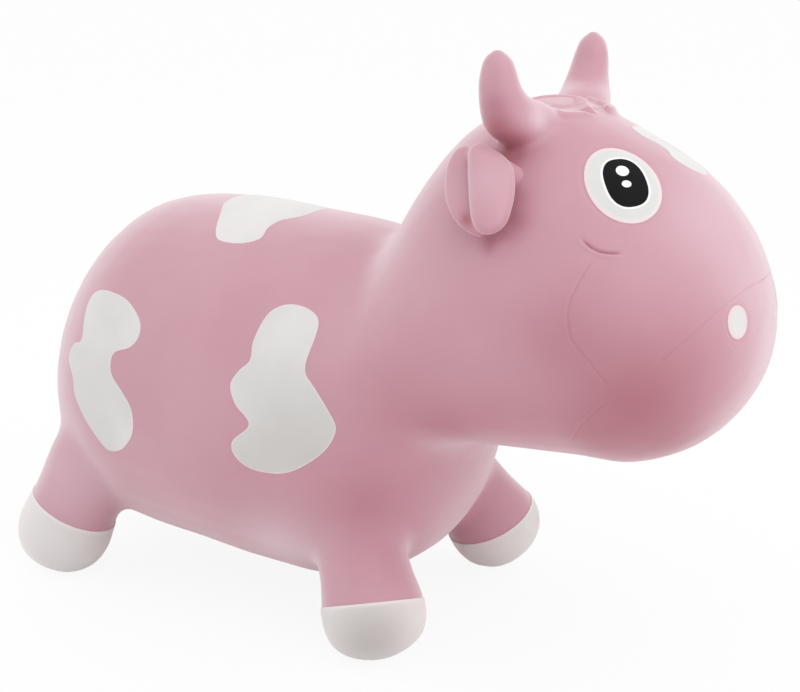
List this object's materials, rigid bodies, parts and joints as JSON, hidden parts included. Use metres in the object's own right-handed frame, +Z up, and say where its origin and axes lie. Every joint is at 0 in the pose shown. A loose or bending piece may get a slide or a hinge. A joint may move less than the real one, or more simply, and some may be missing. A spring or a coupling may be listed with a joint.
{
  "type": "bouncy ride-on animal",
  "caption": "Inflatable bouncy cow to ride: hollow moulded skin on splayed legs with painted hooves and patches, springy horns and ears, and a pull-out air plug.",
  "frame": {"origin": "on the floor, under the middle of the bounding box, with the animal standing on its four soles", "axes": "+X from the rump to the nose, +Y to the animal's left, +Z up"},
  "size_m": [0.5822, 0.266, 0.437],
  "materials": {
    "pink_skin": "soft pink vinyl, satin",
    "plug_vinyl": "firm pink vinyl",
    "white_paint": "flexible white paint, matt",
    "black_paint": "flexible black paint, slight gloss"
  },
  "bodies": {
    "body": {"body_skin": "pink_skin", "horn_root_right": "pink_skin", "horn_root_left": "pink_skin", "ear_root_right": "pink_skin", "ear_root_left": "pink_skin", "front_hoof_right": "white_paint", "front_hoof_left": "white_paint", "rear_hoof_right": "white_paint", "rear_hoof_left": "white_paint", "side_patch_right": "white_paint", "side_patch_left": "white_paint", "rump_patch_right": "white_paint", "rump_patch_left": "white_paint", "back_patch": "white_paint", "forehead_patch": "white_paint", "eye_white_right": "white_paint", "eye_white_left": "white_paint", "eye_pupil_right": "black_paint", "eye_pupil_left": "black_paint", "eye_glint_upper_right": "white_paint", "eye_glint_upper_left": "white_paint", "eye_glint_lower_right": "white_paint", "eye_glint_lower_left": "white_paint", "nostril_right": "white_paint", "nostril_left": "white_paint"},
    "right_horn": {"horn_right": "pink_skin"},
    "left_horn": {"horn_left": "pink_skin"},
    "right_ear": {"ear_right": "pink_skin"},
    "left_ear": {"ear_left": "pink_skin"},
    "plug": {"air_plug": "plug_vinyl"}
  },
  "joints": [
    {"name": "horn_sway_right", "type": "hinge", "parent": "body", "child": "right_horn", "pos_m": [0.12726, -0.06991, 0.40898], "axis": [0, 1, 0], "range_deg": [-12, 12], "stiffness_Nm_per_rad": 1, "deforming": ["horn_root_right"]},
    {"name": "horn_sway_left", "type": "hinge", "parent": "body", "child": "left_horn", "pos_m": [0.12726, 0.06991, 0.40898], "axis": [0, 1, 0], "range_deg": [-12, 12], "stiffness_Nm_per_rad": 1, "deforming": ["horn_root_left"]},
    {"name": "ear_flap_right", "type": "hinge", "parent": "body", "child": "right_ear", "pos_m": [0.1227, -0.07623, 0.36549], "axis": [-1, 0, 0], "range_deg": [-4, 25], "stiffness_Nm_per_rad": 0.6, "deforming": ["ear_root_right"]},
    {"name": "ear_flap_left", "type": "hinge", "parent": "body", "child": "left_ear", "pos_m": [0.1227, 0.07623, 0.36549], "axis": [1, 0, 0], "range_deg": [-4, 25], "stiffness_Nm_per_rad": 0.6, "deforming": ["ear_root_left"]},
    {"name": "plug_pull", "type": "slide", "parent": "body", "child": "plug", "axis": [0, 0, -1], "range_m": [0, 0.014]}
  ]
}
